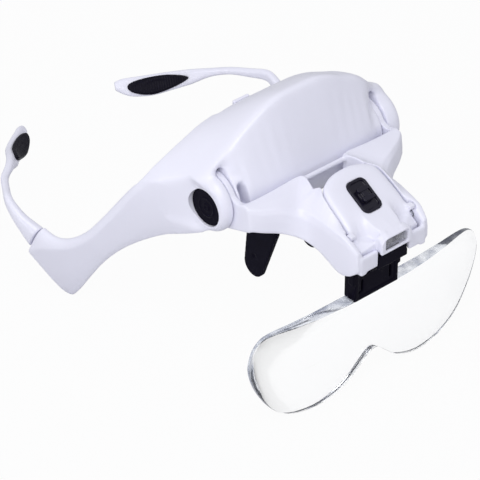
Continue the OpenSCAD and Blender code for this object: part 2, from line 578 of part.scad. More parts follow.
// Lens clip
clip_piv_y = -53;
clip_piv_z = -19.4;
clip_pin_r = 1;
knuckle_r = 2.2;
knuckle_x = 5.8;
clip_y0 = -50.5;
clip_y1 = -44;
clip_z1 = -21.2;
clip_z0 = clip_z1 - clip_h;
tongue_t = 3.4;
tongue_y = -47.3;
tongue_z = clip_z0 + 9;
module clip_bracket() color(black) difference() {
  union() {
    box([-7.8, -58.8, front_z0 - 0.8], [7.8, -53.7, front_z1]);
    box([-7.4, -58.8, front_z0], [7.4, -57.2, -11.6]);
    box([-7.8, -58.8, front_z0 - 1.4], [7.8, -50, front_z0 - seat]);
    both() {
      box([knuckle_x + gap, -55.2, clip_piv_z], [7.8, -50.8, front_z0 - 1]);
      rod_x(knuckle_r, knuckle_x + gap, 7.8, clip_piv_y, clip_piv_z);
    }
  }
  both() {
    rod_x(clip_pin_r + fit, 1, 9, clip_piv_y, clip_piv_z);
    translate([6.4, -51.6, front_z0 - 3]) cylinder(d = 2 + 2 * seat, h = 4);
  }
  rod_x(knuckle_r + gap, -knuckle_x - gap, knuckle_x + gap, clip_piv_y, clip_piv_z);
}
module clip_pin() color(steel) rod_x(clip_pin_r, -7.6, 7.6, clip_piv_y, clip_piv_z);
module bracket_screws() color(steel)
  both() translate([6.4, -51.6, front_z0 - 0.9]) cylinder(d = 2, h = 2.4);
slot_in_clip = 7.4;
module lens_clip() color(black) difference() {
  union() {
    box([-clip_x, clip_y0, clip_z0], [clip_x, clip_y1, clip_z1]);
    rod_x(knuckle_r, -knuckle_x, knuckle_x, clip_piv_y, clip_piv_z);
    box([-knuckle_x, clip_piv_y, clip_z1 - 1], [knuckle_x, -47, clip_piv_z]);
    both() box([clip_x, clip_y0, -28], [clip_x + 1.2, clip_y0 + 3, -23]);
  }
  rod_x(clip_pin_r + fit, -9, 9, clip_piv_y, clip_piv_z);
  box([-tongue_w / 2 - seat, tongue_y - tongue_t / 2 - seat, clip_z0 - 1],
    [tongue_w / 2 + seat, tongue_y + tongue_t / 2 + seat, tongue_z + 0.2]);
  box([-3, tongue_y, clip_z0 + 1.4], [3, tongue_y + tongue_t / 2 + 0.65, tongue_z - 1]);
  box([-clip_x + 1.6, clip_y0 - 1, clip_z0 + 1.6], [clip_x - 1.6, clip_y0 + 0.4, clip_z1 - 2]);
  both() box([slot_in_clip - 0.5, clip_y0 - 1, -33], [slot_in_clip + 0.5, clip_y1 + 1, -27]);
  rod_y(0.6, clip_y0 - 1, clip_y0 + 1.6, -8.6, clip_z0 + 3.4);
}
module clip_spring() color(steel)
  box([-2.8, tongue_y + tongue_t / 2 + 0.12, clip_z0 + 1.6], [2.8, tongue_y + tongue_t / 2 + 0.55, tongue_z - 1.2]);

// Lens
lens_back = -43.7;
lens_half = [[0, -64.6], [3, -65.8], [7, -69.4], [12, -74], [19, -77.7], [26, -79.6], [33, -79.5],
  [40, -78], [46, -74.8], [50.5, -70.6], [54.6, -64.4], [58.2, -57.4], [60.5, -50], [60.6, -44.5],
  [58.6, -39], [54.6, -35.6], [49, -35], [40, -35.8], [28, -36.5], [14, -36.7], [0, -36.7]];
lens_loop = concat(lens_half, reversed([for (i = [1:len(lens_half) - 2]) [-lens_half[i][0], lens_half[i][1]]]));
lens_shape_x = 60.8;
function loop_at(p, s) =
  let (n = len(p), i = floor(s)) cr(p[(i + n - 1) % n], p[i % n], p[(i + 1) % n], p[(i + 2) % n], s - i);
module lens() color(clear) {
  intersection() {
    translate([0, lens_back, 0]) rotate([90, 0, 0]) linear_extrude(height = lens_t + 2)
      polygon([for (i = [0:3 * len(lens_loop) - 1])
        let (q = loop_at(lens_loop, i / 3)) [q[0] * lens_x / lens_shape_x, q[1]]]);
    translate([0, lens_back - lens_t + lens_front_r, -57]) sphere(r = lens_front_r, $fn = 480);
  }
  box([-tongue_w / 2, tongue_y - tongue_t / 2, -38], [tongue_w / 2, tongue_y + tongue_t / 2, tongue_z]);
}

// Ear arms
arm_line = [[67.1, 79.2, -49.8], [70, 84.4, -43.7], [70.7, 89.3, -39.6], [69.9, 93.5, -37.4], [66.2, 99.8, -37.7],
  [61.3, 107.3, -38.2], [54.7, 112.9, -38.9], [48.6, 119.1, -41.5], [43.2, 126.4, -45], [36.8, 132, -47.2],
  [30.5, 137, -48], [27.4, 140, -48.1], [24.8, 142.5, -48]];
arm_high = [14, 9.2, 7.2, 5.7, 4.6, 3.8, 4.4, 7.2, 8.8, 9.9, 9.2, 7.6, 4.2];
// Direction up across the arm, which turns its pad up and to the front
arm_lean = [[0, -0.46, 0.89], [0, -0.28, 0.96], [0, -0.12, 0.99], [0, 0, 1], [0.03, 0.05, 1],
  [0.08, 0.15, 0.98], [0.17, 0.36, 0.92], [0.25, 0.52, 0.82], [0.26, 0.56, 0.79], [0.26, 0.56, 0.79],
  [0.26, 0.56, 0.79], [0.26, 0.56, 0.79], [0.26, 0.56, 0.79]];
arm_thick = [arm_t + 1.2, arm_t, arm_t - 0.8, arm_t - 1.2, arm_t - 1.4, arm_t - 1.4, arm_t - 1.2, arm_t - 1,
  arm_t - 1, arm_t - 1, arm_t - 1.2, arm_t - 1.6, arm_t - 2.2];
arm_bulge = 0.06;     // of the arm's height
function arm_edge(side, bulge) = [for (i = [0:len(arm_line) - 1])
  let (l = unit(arm_lean[i]), o = unit(cross(ahead(arm_line, i), l)))
  arm_line[i] + l * side * arm_high[i] / 2 + o * (arm_thick[i] / 2 + (bulge - arm_bulge / 2) * arm_high[i])];
arm_top = arm_edge(1, 0);
arm_mid = arm_edge(0, arm_bulge);
arm_low = arm_edge(-1, 0);
arm_steps = 3;
pad_s0 = 7.1;
pad_s1 = 10.3;
pad_v = 0.56;
pad_share = 0.41;
module temple() union() {
  difference() {
    band(arm_top, arm_mid, arm_low, arm_thick, arm_steps, 6);
    at_seam() translate([-9, -8, -9]) cube([18, 8.2, 18]);
  }
  peg(peg_l, 2);
}
module ear_pad() {
  n = 16;
  rings = [for (i = [0:n])
    let (s = pad_s0 + (pad_s1 - pad_s0) * edge_v(i, n),
      q = max(0.06, sqrt(max(0, 1 - pow(2 * edge_v(i, n) - 1, 2)))) * pad_share,
      w = curve(arm_thick, s) + seat)
    concat(
      [for (j = [0:6]) let (v = pad_v + q * (2 * edge_v(j, 6) - 1))
        band_at(arm_top, arm_mid, arm_low, s, v) - band_out(arm_top, arm_mid, arm_low, s, v) * w],
      [for (j = [6:-1:0]) let (v = pad_v + q * (2 * edge_v(j, 6) - 1))
        band_at(arm_top, arm_mid, arm_low, s, v)
          - band_out(arm_top, arm_mid, arm_low, s, v) * (w + pad_t * (j == 0 || j == 6 ? 0.5 : 1))])];
  turned_loft(rings);
}
module temple_left() color(white) temple();
module temple_right() color(white) mirror([1, 0, 0]) temple();
module ear_pad_left() color(black) ear_pad();
module ear_pad_right() color(black) mirror([1, 0, 0]) ear_pad();

module stand() translate([0, -mid_y, rest_h]) children();
stand() front_shell();
stand() battery_housing();
stand() battery_tray();
stand() battery_lower();
stand() battery_middle();
stand() battery_upper();
stand() contact_springs();
stand() contact_plates();
stand() tray_screws();
stand() battery_door();
stand() nose_bracket();
stand() nose_pins();
stand() nose_pad_left();
stand() nose_pad_right();
stand() pivot_shaft_left();
stand() pivot_shaft_right();
stand() pivot_cap_left();
stand() pivot_cap_right();
stand() friction_washer_left();
stand() friction_washer_right();
stand() yoke();
stand() yoke_cover_left();
stand() yoke_cover_right();
stand() yoke_screws();
stand() clip_bracket();
stand() bracket_screws();
stand() clip_pin();
stand() lamp_cover();
stand() lamp_base();
stand() lamp_pins();
stand() lamp_screws();
stand() led_board();
stand() led_left();
stand() led_right();
stand() led_window();
stand() switch_frame();
stand() switch_body();
stand() switch_slider();
stand() lens_clip();
stand() clip_spring();
stand() lens();
stand() temple_left();
stand() temple_right();
stand() ear_pad_left();
stand() ear_pad_right();
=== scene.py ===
# %% [markdown]
# # Headband magnifier
# A white hood rests on the forehead, two ear arms plug into its fins, and a yoke in front of it
# tilts with a lamp and a clear lens. The packed model is the frame of this scene: its bodies,
# joints and sizes are fixed. This lesson dresses it. Moulded skins take the place of the
# faceted shells, small parts get their real edges, and every surface gets a finish.

# %% Load the frame
import json
import math
import bpy
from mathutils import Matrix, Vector


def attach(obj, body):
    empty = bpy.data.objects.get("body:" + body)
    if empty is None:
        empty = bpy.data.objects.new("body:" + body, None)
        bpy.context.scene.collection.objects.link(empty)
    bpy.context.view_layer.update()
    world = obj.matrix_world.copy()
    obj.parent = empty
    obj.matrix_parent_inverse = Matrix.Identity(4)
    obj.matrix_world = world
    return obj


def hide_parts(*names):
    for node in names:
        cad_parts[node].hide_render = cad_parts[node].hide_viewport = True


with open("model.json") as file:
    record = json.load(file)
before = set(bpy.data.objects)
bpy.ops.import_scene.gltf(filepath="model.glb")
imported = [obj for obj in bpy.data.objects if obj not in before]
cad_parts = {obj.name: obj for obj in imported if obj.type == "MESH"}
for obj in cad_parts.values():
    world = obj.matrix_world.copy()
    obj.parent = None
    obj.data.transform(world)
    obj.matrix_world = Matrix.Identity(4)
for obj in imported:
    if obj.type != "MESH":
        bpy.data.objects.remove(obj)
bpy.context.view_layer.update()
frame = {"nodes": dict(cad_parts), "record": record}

# %% [markdown]
# Every place is written in millimetres from the hinge line of the yoke, because the whole
# product turns on it: x to the wearer's left, y to the rear, z up. Metres from the floor would
# work as well, but such numbers say little about the product. One function brings a place into
# the frame's metres.

# %% Places
HINGE = Vector((0, -41.45, 80))
MM = 0.001
MICRON = 0.000001


def at(x, y, z):
    return (Vector((x, y, z)) + HINGE) * MM


print("hinge line at", [round(v, 4) for v in at(0, 0, 0)])

# %% [markdown]
# Operators work on what is selected, as they do by hand, and loading leaves the solids
# selected. So each step first selects only its own pieces, in object mode or in edit mode.

# %% Selecting
def only(*pieces):
    bpy.ops.object.select_all(action="DESELECT")
    for piece in pieces:
        piece.select_set(True)
    bpy.context.view_layer.objects.active = pieces[0]


def in_edit(piece, selection="SELECT"):
    only(piece)
    bpy.ops.object.mode_set(mode="EDIT")
    if selection:
        bpy.ops.mesh.select_all(action=selection)


def out_of_edit():
    bpy.ops.object.mode_set(mode="OBJECT")


print("selected after loading:", len(bpy.context.selected_objects))

# %% [markdown]
# The shape of a solid of the frame is never changed. Where a piece needs softer edges than its
# solid has, it could be modelled again by eye, but a copy of the solid is sure to lie in the
# same place. Its triangles are loose at the creases, so they are merged before anything else.

# %% Copies of the solids
def joined(name, *pieces):
    only(*pieces)
    if len(pieces) > 1:
        bpy.ops.object.join()
    piece = bpy.context.object
    piece.name = name
    piece.data.name = name
    return piece


def copy_of(name, *nodes):
    parts = []
    for node in nodes:
        part = bpy.data.objects.new(name, frame["nodes"][node].data.copy())
        bpy.context.collection.objects.link(part)
        parts.append(part)
    piece = joined(name, *parts)
    in_edit(piece)
    bpy.ops.mesh.remove_doubles(threshold=MICRON)
    out_of_edit()
    return piece


print("nodes in the frame:", len(frame["nodes"]))

# %% [markdown]
# An injection-moulded wall has no knife edges: its inner corners are filleted and its rims are
# rolled. Bevels would have to be set edge by edge and fail on small facets, and a voxel skin
# gives the look everywhere at once. The wall is swollen a little, skinned again and shrunk
# back, which fills hairline gaps and inner corners, and a few smoothing steps roll the rims.

# %% Moulded skins
def apply_modifier(piece, kind, **settings):
    only(piece)
    step = piece.modifiers.new(kind.title(), kind)
    for key, value in settings.items():
        setattr(step, key, value)
    bpy.ops.object.modifier_apply(modifier=step.name)


def moulded(piece, voxel, fillet, rounds):
    apply_modifier(piece, "REMESH", mode="VOXEL", voxel_size=voxel * MM)
    if fillet:
        apply_modifier(piece, "DISPLACE", strength=fillet * MM, mid_level=0)
        apply_modifier(piece, "REMESH", mode="VOXEL", voxel_size=voxel * MM)
        apply_modifier(piece, "DISPLACE", strength=-fillet * MM, mid_level=0)
    apply_modifier(piece, "SMOOTH", factor=0.5, iterations=rounds)
    bpy.ops.object.shade_smooth()
    return piece


print("skin tools ready")

# %% [markdown]
# A finished piece gets its material, rides on a body of the frame and hides the solids that it
# replaces. One function does all three, so none is forgotten.

# %% Dressing a finished piece
def triangles(piece):
    return sum(len(face.vertices) - 2 for face in piece.data.polygons)


def dress(piece, material, body, slot, *nodes):
    piece.data.materials.clear()
    piece.data.materials.append(material)
    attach(piece, body)
    if nodes:
        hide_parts(*nodes)
    print(piece.name, "rides on", body, "with", triangles(piece), "triangles")


# %% [markdown]
# A node graph written as a list of links is hard to read. Here a Value wraps one output of a
# node, and sums, differences and products of Values add their own Math nodes, so that shader
# maths reads as plain expressions. The reflected forms let a number stand first, as in 1 - mask.

# %% Values
class Value:
    def __init__(self, tree, socket):
        self.tree = tree
        self.socket = socket

    def math(self, operation, *others):
        return self.tree.math(operation, self, *others)

    def __add__(self, other):
        return self.math("ADD", other)

    def __sub__(self, other):
        return self.math("SUBTRACT", other)

    def __rsub__(self, other):
        return self.tree.math("SUBTRACT", other, self)

    def __mul__(self, other):
        return self.math("MULTIPLY", other)

    __radd__ = __add__
    __rmul__ = __mul__


print("a Value knows", sum(name.startswith("__r") for name in vars(Value)), "reflected operators")

# %% [markdown]
# Any other node, in a material or in the world, comes from the node method of a NodeTree. It
# takes the type of the node, its settings, which are set first, and a number, a colour or a
# Value for each of its sockets. Nodes could be added one by one, but most of those lines would
# say the same.

# %% Node trees
class NodeTree:
    def __init__(self, owner):
        owner.use_nodes = True
        self.nodes = owner.node_tree.nodes
        self.links = owner.node_tree.links

    def node(self, kind, settings, inputs, output=0):
        node = self.nodes.new(kind)
        for key, value in settings.items():
            if key == "stops":
                for element, (position, colour) in zip(node.color_ramp.elements, value):
                    element.position = position
                    element.color = colour
            else:
                setattr(node, key, value)
        for key, value in inputs.items():
            self.feed(node.inputs[key], value)
        return Value(self, node.outputs[output])

    def feed(self, socket, value):
        if isinstance(value, Value):
            self.links.new(value.socket, socket)
        else:
            socket.default_value = value

    def math(self, operation, *terms):
        return self.node("ShaderNodeMath", {"operation": operation}, dict(enumerate(terms)))


def rgb(red, green, blue):
    return (red, green, blue, 1)


print("node tools ready")

# %% [markdown]
# A Finish is the node tree of one material. What is the same all over is set on the shader's
# own sockets, and only what changes over the surface is linked. Patterns read Object
# coordinates, so they stay where they are on the piece when it turns. The Mix node has a set of
# sockets for each kind of data, and its numbers here are those for colours.

# %% Finishes
MIX_FACTOR, MIX_FIRST, MIX_SECOND, MIX_RESULT = 0, 6, 7, 2


class Finish(NodeTree):
    def __init__(self, name, colour, roughness, **constants):
        self.material = bpy.data.materials.new(name)
        super().__init__(self.material)
        self.shader = self.nodes["Principled BSDF"]
        self.set(base_color=colour, roughness=roughness, **constants)
        self.place = self.node("ShaderNodeTexCoord", {}, {}, "Object")

    def set(self, **sockets):
        for key, value in sockets.items():
            # base_color stands for the socket Base Color
            name = key.replace("_", " ").title().replace("Ior", "IOR")
            self.feed(self.shader.inputs[name], value)

    def noise(self, scale, detail=2, place=None):
        inputs = {"Vector": place or self.place, "Scale": scale, "Detail": detail}
        return self.node("ShaderNodeTexNoise", {}, inputs, "Fac")

    def stretched(self, scale):
        return self.node("ShaderNodeMapping", {}, {"Vector": self.place, "Scale": scale})

    def along(self, direction, start=(0, 0, 0)):
        arm = self.node("ShaderNodeVectorMath", {"operation": "SUBTRACT"},
                        {0: self.place, 1: start})
        return self.node("ShaderNodeVectorMath", {"operation": "DOT_PRODUCT"},
                         {0: arm, 1: direction}, "Value")

    def paint(self, pattern, first, second):
        colours = {MIX_FACTOR: pattern, MIX_FIRST: first, MIX_SECOND: second}
        mixed = self.node("ShaderNodeMix", {"data_type": "RGBA"}, colours, MIX_RESULT)
        self.set(base_color=mixed)

    def roughen(self, pattern, low, high):
        self.set(roughness=low + pattern * (high - low))

    def bump(self, height, depth, strength):
        inputs = {"Height": height, "Distance": depth, "Strength": strength}
        self.set(normal=self.node("ShaderNodeBump", {}, inputs))


print("finish tools ready")

# %% [markdown]
# The white parts are glossy ABS with a slight lavender cast. One flat colour would look like
# paper, so the colour drifts faintly as the melt flowed, the satin roughness wanders, and an
# orange-peel bump of a few micrometres breaks up the highlights.

# %% White moulded plastic
def make_white_plastic():
    white = Finish("white_moulded_plastic", rgb(0.81, 0.81, 0.92), roughness=0.32)
    flow = white.noise(scale=24, detail=3)
    white.paint(flow, rgb(0.785, 0.785, 0.90), rgb(0.83, 0.83, 0.94))
    white.roughen(white.noise(scale=140), low=0.25, high=0.39)
    peel = white.noise(scale=1100) + white.noise(scale=260, detail=1) * 2
    white.bump(peel, depth=20 * MICRON, strength=0.35)
    return white.material


white_plastic = make_white_plastic()
print("made", white_plastic.name)

# %% [markdown]
# The clip, the hinge caps and the switch are black and polished, and the rubber of the nose
# pads is duller. A black surface shows its finish by its highlights alone, so each gets fine
# dust-like changes of roughness. The switch has the strongest shine. One function makes all
# three, because they differ only in numbers.

# %% Black plastic and rubber
DUST_LIGHTER = 1.5


def make_black(name, base, low, high, grain, depth, shine=0.03):
    black = Finish(name, rgb(*base), roughness=low, specular_ior_level=shine)
    dusty = rgb(*[part * DUST_LIGHTER for part in base])
    black.paint(black.noise(scale=60), rgb(*base), dusty)
    black.roughen(black.noise(scale=420, detail=3), low, high)
    black.bump(black.noise(scale=grain), depth, strength=0.5)
    return black.material


black_plastic = make_black("black_polished_plastic", (0.0042, 0.0036, 0.0085),
                           low=0.12, high=0.34, grain=700, depth=20 * MICRON)
switch_gloss = make_black("switch_gloss_plastic", (0.006, 0.005, 0.013),
                          low=0.14, high=0.3, grain=500, depth=10 * MICRON, shine=0.35)
black_rubber = make_black("black_soft_rubber", (0.0045, 0.004, 0.0095),
                          low=0.34, high=0.58, grain=2600, depth=30 * MICRON)
print("made", black_plastic.name, switch_gloss.name, black_rubber.name)

# %% [markdown]
# Clear acrylic passes light, bends it at its edges and reflects like water. Its faint bluish
# body colour and tiny changes of roughness keep it from looking like empty air. Its sawn edge
# shows the room as grey and blue streaks. Tracing that truly would need optics in the mesh, so
# the edge gets painted reflections: light and dark streaks painted into its colour. The lamp's
# window is so thin that it hardly bends light, and there plain see-through is enough.

# %% Clear acrylic
ACRYLIC_IOR = 1.49


def make_acrylic():
    clear = Finish("clear_acrylic", rgb(0.99, 0.993, 1.0), roughness=0.01,
                   transmission_weight=1.0, ior=ACRYLIC_IOR)
    clear.roughen(clear.noise(scale=300), low=0.002, high=0.022)
    return clear.material


def make_acrylic_edge():
    edge = Finish("acrylic_edge_painted_reflections", rgb(0.80, 0.84, 0.95), roughness=0.08,
                  transmission_weight=0.72, ior=ACRYLIC_IOR)
    # painted reflections: light and dark streaks in the edge's colour stand for the room seen in
    # it
    painted_reflection_streaks = edge.noise(scale=150, detail=3, place=edge.stretched((1, 1, 2.5)))
    stops = ((0.36, rgb(0.30, 0.33, 0.43)), (0.58, rgb(0.90, 0.93, 1.0)))
    edge.set(base_color=edge.node("ShaderNodeValToRGB", {"stops": stops}, {0: painted_reflection_streaks}))
    edge.roughen(painted_reflection_streaks, low=0.02, high=0.22)
    return edge.material


def make_thin_window():
    pane = Finish("thin_lamp_window", rgb(0.90, 0.92, 1.0), roughness=0.03, alpha=0.07)
    pane.roughen(pane.noise(scale=600), low=0.01, high=0.06)
    return pane.material


clear_acrylic = make_acrylic()
acrylic_edge = make_acrylic_edge()
thin_window = make_thin_window()
print("made", clear_acrylic.name, acrylic_edge.name, thin_window.name)

# %% [markdown]
# Steel pins and screws were turned, so fine lines run round them, and one stretched noise gives
# colour, roughness and bump. The battery cans are nickel-plated steel in a dark sleeve that
# leaves both ends bare. A second mesh for the sleeve would be thinner than paper, so a mask
# along the can tells the two apart. Lengths inside a material are in metres, as the mesh is.

# %% Metals
SLEEVE_END = 0.0208  # from the middle of the can


def make_steel():
    steel = Finish("turned_steel", rgb(0.60, 0.61, 0.63), roughness=0.3, metallic=1.0)
    lines = steel.noise(scale=900, place=steel.stretched((6, 1, 1)))
    steel.paint(lines, rgb(0.52, 0.53, 0.55), rgb(0.68, 0.69, 0.71))
    steel.roughen(lines, low=0.2, high=0.45)
    steel.bump(lines, depth=10 * MICRON, strength=0.5)
    return steel.material


def make_cell_can():
    can = Finish("battery_sleeve", rgb(0.16, 0.17, 0.20), roughness=0.3, metallic=0.0)
    bare = can.along((1, 0, 0)).math("ABSOLUTE").math("GREATER_THAN", SLEEVE_END)
    can.paint(1 - bare, rgb(0.66, 0.66, 0.65), rgb(0.13, 0.14, 0.17))
    can.set(metallic=bare)
    scuffs = can.noise(scale=500, detail=4, place=can.stretched((1, 8, 8)))
    can.roughen(scuffs, low=0.22, high=0.42)
    return can.material


turned_steel = make_steel()
battery_sleeve = make_cell_can()
print("made", turned_steel.name, battery_sleeve.name)

# %% [markdown]
# The lamp board is green laminate with copper traces under lacquer. A wave texture cut at one
# height gives the traces, which is enough for a board that is seen through a narrow window. The
# diodes are clear epoxy over a yellow phosphor, on a grey plate that throws their light forward.

# %% Board and diodes
TRACE_EDGE = 0.78


def make_board():
    board = Finish("lamp_board", rgb(0.02, 0.12, 0.05), roughness=0.35)
    wave = board.node("ShaderNodeTexWave", {"wave_type": "BANDS", "bands_direction": "X"},
                      {"Vector": board.place, "Scale": 420.0, "Distortion": 6.0})
    traces = wave.math("GREATER_THAN", TRACE_EDGE)
    board.paint(traces, rgb(0.02, 0.10, 0.045), rgb(0.08, 0.22, 0.07))
    board.roughen(board.noise(scale=800), low=0.3, high=0.45)
    board.bump(traces, depth=40 * MICRON, strength=0.6)
    return board.material


def make_phosphor():
    phosphor = Finish("diode_phosphor", rgb(0.85, 0.75, 0.30), roughness=0.5)
    specks = phosphor.noise(scale=4000)
    phosphor.paint(specks, rgb(0.75, 0.62, 0.22), rgb(0.95, 0.88, 0.50))
    phosphor.bump(specks, depth=20 * MICRON, strength=0.5)
    return phosphor.material


def make_epoxy():
    epoxy = Finish("diode_epoxy", rgb(0.34, 0.34, 0.38), roughness=0.04,
                   transmission_weight=0.6, ior=1.5, coat_weight=0.6)
    epoxy.roughen(epoxy.noise(scale=900), low=0.02, high=0.1)
    return epoxy.material


def make_reflector():
    plate = Finish("reflector_plate", rgb(0.16, 0.16, 0.19), roughness=0.25, metallic=0.4)
    cloud = plate.noise(scale=500, detail=3)
    plate.paint(cloud, rgb(0.08, 0.08, 0.10), rgb(0.22, 0.22, 0.26))
    plate.roughen(cloud, low=0.2, high=0.4)
    return plate.material


lamp_board = make_board()
diode_phosphor = make_phosphor()
diode_epoxy = make_epoxy()
reflector_plate = make_reflector()
print("made", lamp_board.name, diode_phosphor.name, diode_epoxy.name, reflector_plate.name)

# %% [markdown]
# Every solid of the frame gets the finish of its material slot. Those that are rebuilt below
# are hidden later, and pins, screws, cells and springs show as they are.

# %% Finishes on the solids
BY_SLOT = {
    "white_plastic": white_plastic, "black_plastic": black_plastic, "black_rubber": black_rubber,
    "clear_acrylic": clear_acrylic, "steel": turned_steel, "cell_can": battery_sleeve,
    "circuit_board": lamp_board, "diode": clear_acrylic,
}
for part in frame["record"]["subparts"]:
    solid = frame["nodes"][part["node"]]
    solid.data.materials.clear()
    solid.data.materials.append(BY_SLOT[part["material_slot"]])

# %% [markdown]
# ## Hood
# Hood, wings and fins are one moulding, and the battery housing is glued under the hood with no
# visible joint. The real mould rounds out the corners between them. Here convex fillers are
# laid into those corners before one skin is drawn over everything. A filler is made as by hand:
# tiny cubes are placed at its corners and joined, and a hull is drawn round them.

# %% Convex fillers
SPECK = 0.3


def placed(piece):
    only(piece)
    bpy.ops.object.transform_apply(location=True, rotation=True, scale=True)
    return piece


def speck_at(x, y, z, side):
    bpy.ops.mesh.primitive_cube_add(size=SPECK * MM, location=at(side * x, y, z))
    return placed(bpy.context.object)


def hull(*pieces):
    piece = joined("filler", *pieces)
    in_edit(piece)
    bpy.ops.mesh.convex_hull()
    out_of_edit()
    return piece


def hull_of_points(points, side):
    return hull(*[speck_at(x, y, z, side) for x, y, z in points])


print("fillers are hulls of cubes of", SPECK, "mm")

# %% [markdown]
# Round each hinge the wing swells into a boss. A cylinder would meet the wing in a hard line,
# and the real swelling runs out into it. So one hull goes over the rings of the boss, and a
# second one over their rear half and points on the wing behind it.

# %% The swelling round each hinge
FRONT, REAR = -1, 1
BOSS_RINGS = [(40.75, 12.2), (42.6, 12.6), (44.4, 11.9), (45.4, 10.2)]  # x and radius
REAR_TURNS = (-48, -24, 0, 24, 48)
WING_POINTS = [(41.6, 0, 13.0), (45.6, 4, 10.6), (48.0, 9, 9.0), (51.4, 13.5, 6.4),
               (53.6, 18, 2.6), (45.6, 5, -14.6), (48.6, 13, -19.6), (53.0, 22, -12)]


def on_arc(x, radius, turn, way):
    angle = math.radians(turn)
    return (x, way * radius * math.cos(angle), radius * math.sin(angle))


def boss_ring(x, radius, side):
    bpy.ops.mesh.primitive_circle_add(vertices=36, radius=radius * MM, fill_type="NOTHING",
                                      location=at(side * x, 0, 0),
                                      rotation=(0, math.radians(90), 0))
    return placed(bpy.context.object)


def hinge_swelling(side):
    boss = hull(*[boss_ring(x, radius, side) for x, radius in BOSS_RINGS])
    rear = [on_arc(x, radius, turn, REAR) for x, radius in BOSS_RINGS for turn in REAR_TURNS]
    return joined("hinge_swelling", boss, hull_of_points(rear + WING_POINTS, side))


swellings = [hinge_swelling(side) for side in (-1, 1)]
print("swellings made:", len(swellings))

# %% [markdown]
# Between the housing's end and the hinge the hood has a slot. On the real hood it is a closed
# pocket, but in the solids it is open through the wall. A bent block closes it, and the next
# cell sinks the pocket into the block.

# %% Blocks in the slots
def bent_block(side, width, radii, turns):
    return hull_of_points([on_arc(x, radius, turn, FRONT)
                           for x in width for radius in radii for turn in turns], side)


hood = copy_of("hood_copy", "front_shell", "battery_housing")
blocks = [bent_block(side, width=(32.3, 37), radii=(4.8, 12.5), turns=(-26, 15, 52))
          for side in (-1, 1)]
blocks.append(bent_block(1, width=(32.6, 36.8), radii=(10, 13.5), turns=(4, 26, 50)))
hood = joined("hood_and_wings", hood, *blocks)
print("blocks laid in:", len(blocks))

# %% [markdown]
# Round each boss the wing's flat wall stands too far out, so a slanted hull cuts it back before
# the swelling is laid on. The two pockets are cut in the same step: an exact boolean on the few
# faces of the solids is quick and clean, which it wouldn't be on the dense skin.

# %% Cuts round the bosses, and pockets
CUT_LOW = [(45.7, -20), (45.7, 6.7), (51.6, 15.4), (62, 15.4), (62, -20)]  # x and y, low down
CUT_HIGH = [(49.4, -20), (49.4, 6.4), (53.0, 11.5), (62, 11.5), (62, -20)]
CUT_HEIGHTS = (-12.5, 7)
CUT_TOP = 12.5


def wing_cutter(side):
    low = [(x, y, z) for x, y in CUT_LOW for z in CUT_HEIGHTS]
    high = [(x, y, CUT_TOP) for x, y in CUT_HIGH]
    return hull_of_points(low + high, side)


def carve(piece, tool, **settings):
    apply_modifier(piece, "BOOLEAN", operation="DIFFERENCE", object=tool, solver="EXACT",
                   **settings)
    bpy.data.objects.remove(tool)


pockets = [bent_block(-1, width=(33.2, 36.2), radii=(6.2, 15), turns=(-12, 15, 45)),
           bent_block(1, width=(33.4, 35.9), radii=(6.2, 15), turns=(-14, 5))]
carve(hood, joined("hood_cutter", wing_cutter(-1), wing_cutter(1), *pockets), use_self=True)
print("faces after the cuts:", len(hood.data.polygons))

# %% [markdown]
# Under the hood's ridge the brow runs down as a smooth slope that touches the round housing. It
# is filled station by station, from the middle out. Each station finds where a line from the
# ridge touches the housing, whose radius tapers towards its ends, and ends just inside it.

# %% Brow
BARREL, BARREL_TAPER, BARREL_HALF = 16, 3.2, 37.4
RIDGE_AHEAD, RIDGE_SINK, BROW_THICK = 4, 0.3, 4
JUST_INSIDE, WELL_INSIDE = 0.1, 2
BROW_ROWS = [(0, 35, 0), (6, 34.8, 0), (11.5, 34.4, 0), (17, 33, 0), (22, 30.8, 0),
             (26.5, 28.6, 0), (31, 26.2, 0), (33, 24.6, 48), (36, 21.8, 62)]  # x, z, lowest turn


def brow_station(x, z, lowest):
    barrel = BARREL - BARREL_TAPER * (x / BARREL_HALF) ** 4
    touch = math.atan2(z, RIDGE_AHEAD) - math.acos(barrel / math.hypot(RIDGE_AHEAD, z))
    foot = max(math.degrees(touch), lowest)
    return [(x, -RIDGE_AHEAD, z - RIDGE_SINK), (x, -RIDGE_AHEAD / 2, z - BROW_THICK),
            on_arc(x, barrel - WELL_INSIDE, foot, FRONT),
            on_arc(x, barrel - JUST_INSIDE, foot, FRONT)]


def hulls_between(name, stations, side):
    return joined(name, *[hull_of_points(first + second, side)
                          for first, second in zip(stations, stations[1:])])


brow = [brow_station(*row) for row in BROW_ROWS]
hood = joined("hood_and_wings", hood, hulls_between("brow_filler", brow, -1),
              hulls_between("brow_filler", brow, 1), *swellings)
moulded(hood, voxel=0.62, fillet=0.6, rounds=4)
print("hood skin has", triangles(hood), "triangles")

# %% [markdown]
# Some edges of the real hood are much rounder than its rims: the ridge, and the lines where the
# wings leave the bosses. More smoothing everywhere would eat the rims too. So a vertex group
# is full within half its reach from a line and fades out beyond, and only that is smoothed.

# %% Soft lines of the hood
RIDGE = [(0, -4, 34.6), (11.5, -4, 34.0), (22, -4, 30.4), (31, -3.8, 25.8), (35.5, -3.6, 21.8)]
WING_TOP = [(44.0, 3, 12.0), (47.5, 8, 10.4), (52, 14.5, 7.2)]
WING_BACK = [(48.5, 11, 6), (48, 11, -4), (47, 7.5, -13)]


def mirrored(line, side):
    return [(side * x, y, z) for x, y, z in line]


def distance_to_chain(point, chain):
    distances = []
    for start, end in zip(chain, chain[1:]):
        along = end - start
        share = max(0, min(1, (point - start).dot(along) / along.length_squared))
        distances.append((point - start - along * share).length)
    return min(distances)


